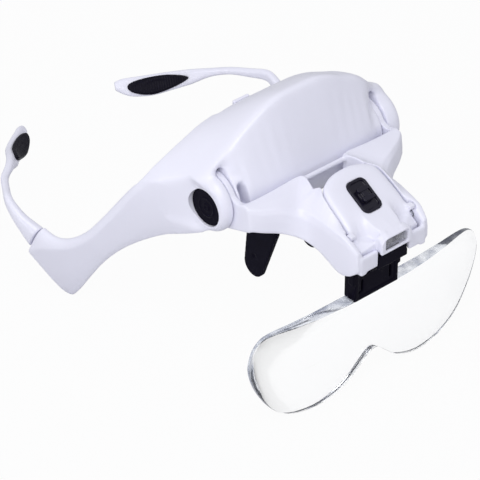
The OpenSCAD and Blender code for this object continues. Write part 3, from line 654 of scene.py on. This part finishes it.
def soften(piece, line, reach, rounds):
    chain = [at(*place) for place in line]
    group = piece.vertex_groups.new(name="soft_line")
    for vertex in piece.data.vertices:
        near = distance_to_chain(vertex.co, chain) / MM
        if near < reach:
            group.add([vertex.index], min(1.0, 2 * (1 - near / reach)), "REPLACE")
    apply_modifier(piece, "SMOOTH", factor=0.5, iterations=rounds, vertex_group="soft_line")
    piece.vertex_groups.clear()
    print(piece.name, "softened along a line of", len(line), "points")


soften(hood, mirrored(RIDGE[:0:-1], -1) + RIDGE, reach=8, rounds=50)
for side in (-1, 1):
    soften(hood, mirrored(WING_TOP, side), reach=6, rounds=40)
    soften(hood, mirrored(WING_BACK, side), reach=8, rounds=60)

# %% [markdown]
# The crown is a little fuller than the solid, and so are the shoulder and the rim of the boss on
# the far side. As by hand with proportional editing, what lies near a line is pulled out and
# its surroundings follow.

# %% Fuller places of the hood
CROWN = [(-12, 6, 33), (12, 6, 33)]
FAR_SHOULDER = [(33, 4, 22), (37, 6, 19)]
FAR_RIM = [(47.5, -12, -2), (47.5, -11, 5), (47.2, -6, 11.5), (46.6, 0, 13)]
FAR_RIM_EDGE = [(48, -11, 2), (48, -9, 8), (47, -2, 12.5)]
HELD_WITHIN = 3


def nudge(piece, line, move, reach):
    chain = [at(*place) for place in line]
    in_edit(piece, "DESELECT")
    out_of_edit()
    for vertex in piece.data.vertices:
        vertex.select = distance_to_chain(vertex.co, chain) < HELD_WITHIN * MM
    in_edit(piece, selection=None)
    bpy.ops.transform.translate(value=tuple(v * MM for v in move), use_proportional_edit=True,
                                proportional_edit_falloff="SMOOTH", proportional_size=reach * MM)
    out_of_edit()


nudge(hood, CROWN, move=(0, 0, 2.2), reach=26)
nudge(hood, FAR_SHOULDER, move=(0.5, 0, 1.3), reach=14)
nudge(hood, FAR_RIM, move=(2.4, -0.4, 0.4), reach=4.6)
soften(hood, FAR_RIM_EDGE, reach=4, rounds=12)
print("top of the crown in mm:", round(max(v.co.z for v in hood.data.vertices) / MM, 1))

# %% [markdown]
# The cap of each hinge lies in a round recess, turned a little to the front. It is cut last,
# after the skin is drawn and smoothed, so that its rim stays crisp.

# %% Recesses for the caps
CAP_PLACE = (44.7, -1.3, -1.4)
CAP_TURN = math.radians(3.5)
CAP_RADIUS, CAP_PLAY = 7.9, 0.2
RECESS_DEPTH, DRILL_LENGTH = 1.65, 12


def creased(piece, degrees):
    only(piece)
    bpy.ops.object.shade_smooth_by_angle(angle=math.radians(degrees))


def cap_drill(side):
    x, y, z = CAP_PLACE
    axis = Vector((side * math.cos(CAP_TURN), -math.sin(CAP_TURN), 0))
    middle = at(side * x, y, z) + axis * (DRILL_LENGTH / 2 - RECESS_DEPTH) * MM
    bpy.ops.mesh.primitive_cylinder_add(vertices=96, radius=(CAP_RADIUS + CAP_PLAY) * MM,
                                        depth=DRILL_LENGTH * MM, location=middle,
                                        rotation=axis.to_track_quat("Z", "Y").to_euler())
    return placed(bpy.context.object)


carve(hood, joined("cap_drill", cap_drill(-1), cap_drill(1)))
creased(hood, degrees=40)
dress(hood, white_plastic, "headgear", "white_plastic", "front_shell", "battery_housing")

# %% [markdown]
# ## Yoke and lamp cover
# The yoke carries a raised rim on both sides of the lamp cover. Its height changes all the way,
# so it is filled from stations as the brow is. Yoke and cover meet along a fine seam. Each gets
# its own skin, with a fillet small enough to leave that seam open.

# %% Yoke
RIM_STATIONS = [  # y, then x and z of the inner edge, then x and z of the outer edge
    (-28, 13.2, 7.0, 17.6, 4.3), (-30.2, 12.2, 8.3, 18.2, 3.4), (-32, 13.1, 8.5, 18.6, 2.8),
    (-34, 14.5, 8.0, 19, 2.2), (-36, 15.0, 7.0, 19.2, 1.7), (-38, 15.25, 5.9, 19.4, 1.3),
    (-40, 15.4, 4.8, 19.4, 1.0), (-42, 15.5, 3.6, 19.5, 0.7), (-44, 15.6, 2.4, 19.2, 0.3),
    (-47, 15.8, 0.4, 18.5, 0.0),
]
RIM_INSET, RIM_DEEP, RIM_THIN = 0.4, 4, 1.2


def rim_station(y, x0, z0, x1, z1):
    return [(x0, y, z0), (x0 + RIM_INSET, y, z0 - RIM_DEEP), (x1, y, z1), (x1, y, z1 - RIM_THIN)]


rim = [rim_station(*row) for row in RIM_STATIONS]
yoke = joined("yoke_skin", copy_of("yoke_copy", "yoke"), hulls_between("rim_filler", rim, -1),
              hulls_between("rim_filler", rim, 1))
moulded(yoke, voxel=0.42, fillet=0.35, rounds=3)
dress(yoke, white_plastic, "tilting_yoke", "white_plastic", "yoke")

# %% [markdown]
# The lamp cover has a soft shoulder along each side and a skirt beside its nose. The skirts are
# two more fillers, and the shoulders are smoothed along a line, as on the hood.

# %% Lamp cover
SHOULDER = [(12.4, -32, 9.2), (12.8, -34, 8.6), (13.2, -38, 6.4), (13.5, -42, 4.2),
            (13.7, -46, 2.0)]
SKIRT = [(8.0, -51, -4.6), (15.0, -51, -4.4), (15.0, -51, -9.5), (8.0, -51, -9.5),
         (7.8, -57.3, -5.2), (7.8, -57.3, -9.6), (14.6, -56.4, -7.2), (14.6, -56.4, -10)]

cover = joined("lamp_cover_skin", copy_of("cover_copy", "lamp_cover"),
               hull_of_points(SKIRT, -1), hull_of_points(SKIRT, 1))
moulded(cover, voxel=0.32, fillet=0.3, rounds=4)
for side in (-1, 1):
    soften(cover, mirrored(SHOULDER, side), reach=5.4, rounds=90)
dress(cover, white_plastic, "lamp", "white_plastic", "lamp_cover")

# %% [markdown]
# ## Ear arms
# The ear arms are solid mouldings with a slim neck. They have no inner corners to fill, so they
# are skinned and smoothed without swelling.

# %% Ear arms
SIDES = {1: "left", -1: "right"}

for name in SIDES.values():
    arm = moulded(copy_of("ear_arm_" + name, "temple_" + name), voxel=0.36, fillet=0, rounds=5)
    dress(arm, white_plastic, "ear_" + name, "white_plastic", "temple_" + name)

# %% [markdown]
# ## Small mouldings
# Clip, bracket, switch, nose pads, hinge caps and battery door are small, so their skins are
# finer. They are listed in a table, because only the numbers differ: the rubber pads are
# smoothed most, and the caps keep their crisp dish because they aren't swollen.

# %% Small mouldings
SMALL_MOULDINGS = [  # node, body, voxel, fillet, rounds, finish, slot
    ("lens_clip", "clip", 0.24, 0.12, 6, black_plastic, "black_plastic"),
    ("clip_bracket", "tilting_yoke", 0.24, 0.12, 5, black_plastic, "black_plastic"),
    ("switch_frame", "lamp", 0.16, 0.08, 5, switch_gloss, "black_plastic"),
    ("switch_slider", "slider", 0.13, 0.1, 4, switch_gloss, "black_plastic"),
    ("nose_pad_left", "nose_left", 0.25, 0, 9, black_rubber, "black_rubber"),
    ("nose_pad_right", "nose_right", 0.25, 0, 9, black_rubber, "black_rubber"),
    ("nose_bracket", "headgear", 0.35, 0.3, 6, black_plastic, "black_plastic"),
    ("pivot_cap_left", "headgear", 0.16, 0, 4, black_plastic, "black_plastic"),
    ("pivot_cap_right", "headgear", 0.16, 0, 4, black_plastic, "black_plastic"),
    ("battery_door", "door", 0.3, 0.2, 5, white_plastic, "white_plastic"),
]
for node, body, voxel, fillet, rounds, material, slot in SMALL_MOULDINGS:
    piece = moulded(copy_of(node + "_skin", node), voxel, fillet, rounds)
    dress(piece, material, body, slot, node)

# %% [markdown]
# ## Ear pads
# Each ear arm carries a black rubber pad with ripples, which spread from its middle as rings on
# water and are crossed by fine ribs. They are a tenth of a millimetre high, far below what the
# skin can hold, so they are a bump in the finish. The rings are oval as the pad is: places are
# measured along and across it, in halves of its length and width. Each side has its own finish,
# because the pads lie at mirrored places.

# %% Rippled rubber
PAD_MIDDLE = (37.9, 129, -46.1)
PAD_LONG_WAY, PAD_OUTWARD = (0.786, -0.596, 0.164), (-0.56, -0.58, 0.59)
PAD_HALF_LENGTH, PAD_HALF_WIDTH = 0.0125, 0.0046
RING_PHASE = 15.7  # radians from the middle to the rim, which makes two and a half rings
RIB_PITCH = 0.0011


def pad_axes(side):
    long_way, outward = [Vector((side * x, y, z)).normalized()
                         for x, y, z in (PAD_LONG_WAY, PAD_OUTWARD)]
    outward = (outward - long_way * outward.dot(long_way)).normalized()
    x, y, z = PAD_MIDDLE
    return long_way, long_way.cross(outward).normalized(), outward, at(side * x, y, z)


def make_rippled_rubber(side):
    long_way, short_way, _, middle = [tuple(axis) for axis in pad_axes(side)]
    rubber = Finish("rippled_rubber_" + SIDES[side], rgb(0.007, 0.006, 0.013), roughness=0.3,
                    specular_ior_level=0.05)
    lengthwise = rubber.along(long_way, middle)
    u = lengthwise * (1 / PAD_HALF_LENGTH)
    v = rubber.along(short_way, middle) * (1 / PAD_HALF_WIDTH)
    rings = ((u * u + v * v).math("SQRT") * RING_PHASE).math("SINE")
    ribs = (lengthwise * (math.tau / RIB_PITCH)).math("SINE")
    rubber.paint(rubber.noise(scale=80), rgb(0.005, 0.0045, 0.010), rgb(0.008, 0.007, 0.014))
    rubber.roughen(rubber.noise(scale=500, detail=3), low=0.25, high=0.4)
    rubber.bump(rings * 0.5 + ribs * 0.5, depth=120 * MICRON, strength=0.8)
    return rubber.material


rippled = {side: make_rippled_rubber(side) for side in SIDES}
print("made", *[material.name for material in rippled.values()])

# %% [markdown]
# The pads are wider than their solids, which stay clear of the arms. Each copy is stretched
# along its own two axes and moved out by a hair before its skin is drawn.

# %% Ear pads
LONG_BY, WIDE_BY, OUT_BY = 1.05, 1.2, 0.12


def stretch(pad, side):
    long_way, short_way, outward, middle = pad_axes(side)
    for vertex in pad.data.vertices:
        arm = vertex.co - middle
        longer = long_way * arm.dot(long_way) * (LONG_BY - 1)
        wider = short_way * arm.dot(short_way) * (WIDE_BY - 1)
        vertex.co += longer + wider
        vertex.co += outward * OUT_BY * MM


for side, name in SIDES.items():
    pad = copy_of("ear_pad_skin_" + name, "ear_pad_" + name)
    stretch(pad, side)
    moulded(pad, voxel=0.16, fillet=0, rounds=3)
    dress(pad, rippled[side], "ear_" + name, "black_rubber", "ear_pad_" + name)

# %% [markdown]
# ## Lamp
# Two domed diodes look out of a clear window. The dome could be spun from a profile, but a
# sphere flattened along the beam gives the same form with fewer steps. A flange stands behind
# it, as on the real diode.

# %% Diodes
DIODE_X, DIODE_Z = 2.8, -5.9
DOME_Y, DOME_RADIUS, DOME_FLATTENED = -58.6, 1.9, 0.68
FLANGE_Y, FLANGE_RADIUS, FLANGE_THICK = -58.15, 1.98, 0.5


def diode(side):
    bpy.ops.mesh.primitive_uv_sphere_add(segments=32, ring_count=20, radius=DOME_RADIUS * MM,
                                         location=at(side * DIODE_X, DOME_Y, DIODE_Z))
    dome = bpy.context.object
    dome.scale = (1, DOME_FLATTENED, 1)
    placed(dome)
    bpy.ops.mesh.primitive_cylinder_add(vertices=32, radius=FLANGE_RADIUS * MM,
                                        depth=FLANGE_THICK * MM,
                                        location=at(side * DIODE_X, FLANGE_Y, DIODE_Z),
                                        rotation=(math.radians(90), 0, 0))
    flange = placed(bpy.context.object)
    piece = joined("diode_" + SIDES[side], dome, flange)
    creased(piece, degrees=40)
    return piece


print("diodes stand", 2 * DIODE_X, "mm apart")

# %% [markdown]
# Behind each dome lies a small square of phosphor, and behind both a reflector plate. All have
# bevelled edges, because even at this size a sharp edge shows as a missing highlight. The
# window in front keeps its solid, which is as thin and flat as the real one, and gets its
# finish here.

# %% Phosphor, reflector and window
CHIP_Y, CHIP_SIZE, CHIP_FLATTENED = -58.2, 1.1, 0.3
PLATE_PLACE, PLATE_SIZE = (0, -57.95, -5.8), (11.2, 0.2, 5.0)


def block(name, place, size, scale, bevel, segments):
    bpy.ops.mesh.primitive_cube_add(size=size, location=at(*place))
    piece = bpy.context.object
    piece.name = name
    piece.scale = scale
    placed(piece)
    apply_modifier(piece, "BEVEL", width=bevel * MM, segments=segments)
    return piece


for side, name in SIDES.items():
    dress(diode(side), diode_epoxy, "lamp", "diode", "led_" + name)
    chip = block("phosphor_" + name, (side * DIODE_X, CHIP_Y, DIODE_Z), CHIP_SIZE * MM,
                 (1, CHIP_FLATTENED, 1), bevel=0.08, segments=2)
    dress(chip, diode_phosphor, "lamp", "diode")
plate = block("reflector", PLATE_PLACE, 1, [length * MM for length in PLATE_SIZE],
              bevel=0.4, segments=3)
dress(plate, reflector_plate, "lamp", "circuit_board")
frame["nodes"]["led_window"].data.materials[0] = thin_window
print("window finished with", thin_window.name)

# %% [markdown]
# ## Lens
# The lens is cut from acrylic sheet. A voxel skin would leave ripples that show through clear
# material, so its copy keeps exact faces: small facets are dissolved into whole ones and the
# sharp edges get a bevel. Its two faces are clear, and all that turns away from them is edge.

# %% Lens
FLAT_WITHIN, BEVEL_FROM = math.radians(2), math.radians(50)
LENS_BEVEL = 0.35
EDGE_BELOW = 0.75

lens = copy_of("lens_skin", "lens")
in_edit(lens)
bpy.ops.mesh.dissolve_limited(angle_limit=FLAT_WITHIN)
out_of_edit()
lens_axis = max(lens.data.polygons, key=lambda face: face.area).normal.copy()
apply_modifier(lens, "BEVEL", width=LENS_BEVEL * MM, segments=2, limit_method="ANGLE",
               angle_limit=BEVEL_FROM)
dress(lens, clear_acrylic, "goggle_lens", "clear_acrylic", "lens")
lens.data.materials.append(acrylic_edge)
for face in lens.data.polygons:
    face.material_index = int(abs(face.normal.dot(lens_axis)) < EDGE_BELOW)
creased(lens, degrees=30)

# %% [markdown]
# ## Shading of the solids
# Pins, screws, cells and springs keep their solids. All their faces are set to shade smooth, so
# that round ones don't show facets, and the corner normals that come with the frame keep flat
# ones flat. A mesh itself isn't changed by that.

# %% Shading
for solid in frame["nodes"].values():
    solid.data.polygons.foreach_set("use_smooth", [True] * len(solid.data.polygons))
print("shaded", len(frame["nodes"]))

# %% [markdown]
# ## Studio
# A background as white as the photograph's would need so much light that the object washes
# out. So floor and world show white only to the camera and to rays through the clear lens, and
# keep their own colour for the light on the object.

# %% White to the camera
def show_white(tree, plain, white, share, output):
    camera_ray = tree.node("ShaderNodeLightPath", {}, {}, "Is Camera Ray")
    lens_ray = tree.node("ShaderNodeLightPath", {}, {}, "Is Transmission Ray")
    seen = (camera_ray * share).math("MAXIMUM", lens_ray)
    mixed = tree.node("ShaderNodeMixShader", {}, {0: seen, 1: plain, 2: white})
    tree.feed(tree.nodes[output].inputs["Surface"], mixed)


print("background tool ready")

# %% [markdown]
# The floor is pale and plain. It mixes a little of its real surface into the white, which keeps
# a soft trace of the object's shadow.

# %% Floor
FLOOR_WHITE, FLOOR_SIZE = 0.95, 8


def make_floor():
    floor = Finish("pale_floor", rgb(0.62, 0.62, 0.64), roughness=0.9)
    plain = Value(floor, floor.shader.outputs[0])
    white = floor.node("ShaderNodeEmission", {}, {"Color": rgb(1, 1, 1), "Strength": 1.0})
    show_white(floor, plain, white, FLOOR_WHITE, "Material Output")
    return floor.material


bpy.ops.mesh.primitive_plane_add(size=FLOOR_SIZE, location=(0, 0, 0))
floor = bpy.context.object
floor.name = "floor"
floor.data.materials.append(make_floor())
print("floor of", FLOOR_SIZE, "m made")

# %% [markdown]
# The world gives a dim, even light from everywhere, as the walls of a white studio do, so that
# no side of the object falls into black.

# %% World
WORLD_WHITE = 1.0
SKY_STRENGTH = 0.6


def make_world():
    world = bpy.data.worlds.new("studio")
    studio = NodeTree(world)
    sky = studio.nodes["Background"]
    studio.feed(sky.inputs["Color"], rgb(0.97, 0.975, 1.0))
    studio.feed(sky.inputs["Strength"], SKY_STRENGTH)
    white = studio.node("ShaderNodeBackground", {}, {"Color": rgb(1, 1, 1), "Strength": 1.0})
    show_white(studio, Value(studio, sky.outputs[0]), white, WORLD_WHITE, "World Output")
    return world


bpy.context.scene.world = make_world()
print("made world", bpy.context.scene.world.name)

# %% [markdown]
# Three large square lamps give the soft light of a product photograph: the key from above and
# in front, a weaker fill from the side, and one behind that draws a bright rim. Places are in
# metres here, because the lamps stand in the room and not on the product.

# %% Lamps
LIT_PLACE = Vector((0, -0.02, 0.06))


def softbox(name, place, size, power):
    bpy.ops.object.light_add(type="AREA", location=place)
    lamp = bpy.context.object
    lamp.name = name
    lamp.data.shape = "SQUARE"
    lamp.data.size = size
    lamp.data.energy = power
    lamp.rotation_euler = (LIT_PLACE - Vector(place)).to_track_quat("-Z", "Y").to_euler()
    print(name, "lamp of", power, "W")


softbox("key", (-0.62, -0.55, 1.06), size=0.8, power=7.3)
softbox("fill", (-1.0, -0.1, 0.4), size=0.9, power=1.7)
softbox("back", (0.1, 0.9, 0.8), size=0.9, power=1.0)

# %% [markdown]
# ## Camera
# The view was solved from the photograph: 41 degrees round to the object's right and 36.5
# degrees above it, from 1.15 m, which gives the weak perspective of a product shot. A known
# place of the object has to fall on its known pixel, so the camera aims off the object's middle
# instead of using a shift.

# %% Camera and view
AZIMUTH, ELEVATION, DISTANCE = math.radians(-41), math.radians(36.5), 1150
PIXELS_PER_MM = 2.575
PICTURE, SENSOR = 480, 36
KNOWN_PLACE, KNOWN_PIXEL = Vector((0, -10, 9.5)), (308.5, 150)
CLIP_START, CLIP_END = 0.1, 20

right = Vector((math.cos(AZIMUTH), math.sin(AZIMUTH), 0))
back = Vector((math.sin(AZIMUTH) * math.cos(ELEVATION), -math.cos(AZIMUTH) * math.cos(ELEVATION),
               math.sin(ELEVATION)))
up = back.cross(right)
across, down = [(pixel - PICTURE / 2) / PIXELS_PER_MM for pixel in KNOWN_PIXEL]
aim = KNOWN_PLACE - right * across + up * down
bpy.ops.object.camera_add()
camera = bpy.context.object
camera.name = "camera"
camera.data.sensor_width = SENSOR
camera.data.lens = SENSOR * PIXELS_PER_MM * DISTANCE / PICTURE
camera.data.clip_start, camera.data.clip_end = CLIP_START, CLIP_END
camera.location = at(*(aim + back * DISTANCE))
camera.rotation_euler = (-back).to_track_quat("-Z", "Y").to_euler()
bpy.context.scene.camera = camera
bpy.context.scene.view_settings.view_transform = "Standard"
print("camera", [round(v, 3) for v in camera.location], "lens", round(camera.data.lens, 1))

# %% [markdown]
